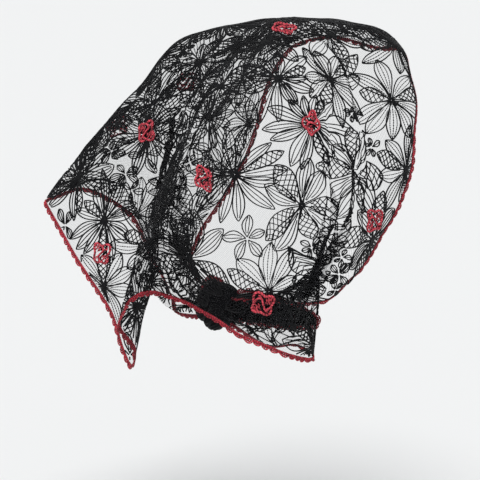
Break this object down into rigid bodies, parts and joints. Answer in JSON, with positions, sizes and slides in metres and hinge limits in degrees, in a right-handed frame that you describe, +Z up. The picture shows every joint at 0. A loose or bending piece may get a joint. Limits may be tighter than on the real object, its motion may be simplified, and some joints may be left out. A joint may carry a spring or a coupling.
{
  "type": "lace triangle scarf",
  "caption": "Triangle lace scarf in its worn form: sheer flower lace over the crown, knotted at the nape, point free at the back, with narrow crochet edging and sewn crochet flowers.",
  "frame": {"origin": "inside of the cloth where it rests on the crown, the place that carries the scarf", "axes": "+Z up, square to the crown; -Y towards the front edge; -X towards the scarf's right side; the point hangs at +Y"},
  "size_m": [0.2276, 0.26, 0.2427],
  "materials": {
    "lace": "sheer black tulle embroidered with corded flowers, slight cool sheen",
    "crochet": "red crocheted cotton cord, matt",
    "knot": "the same black lace gathered into many layers"
  },
  "bodies": {
    "root": {"lace_cloth": "lace", "front_trim": "crochet", "hem_trim": "crochet", "rosette_01": "crochet", "rosette_02": "crochet", "rosette_03": "crochet", "rosette_04": "crochet", "rosette_05": "crochet", "rosette_06": "crochet", "rosette_07": "crochet", "rosette_08": "crochet", "rosette_09": "crochet", "rosette_10": "crochet", "nape_knot": "knot"}
  },
  "joints": []
}
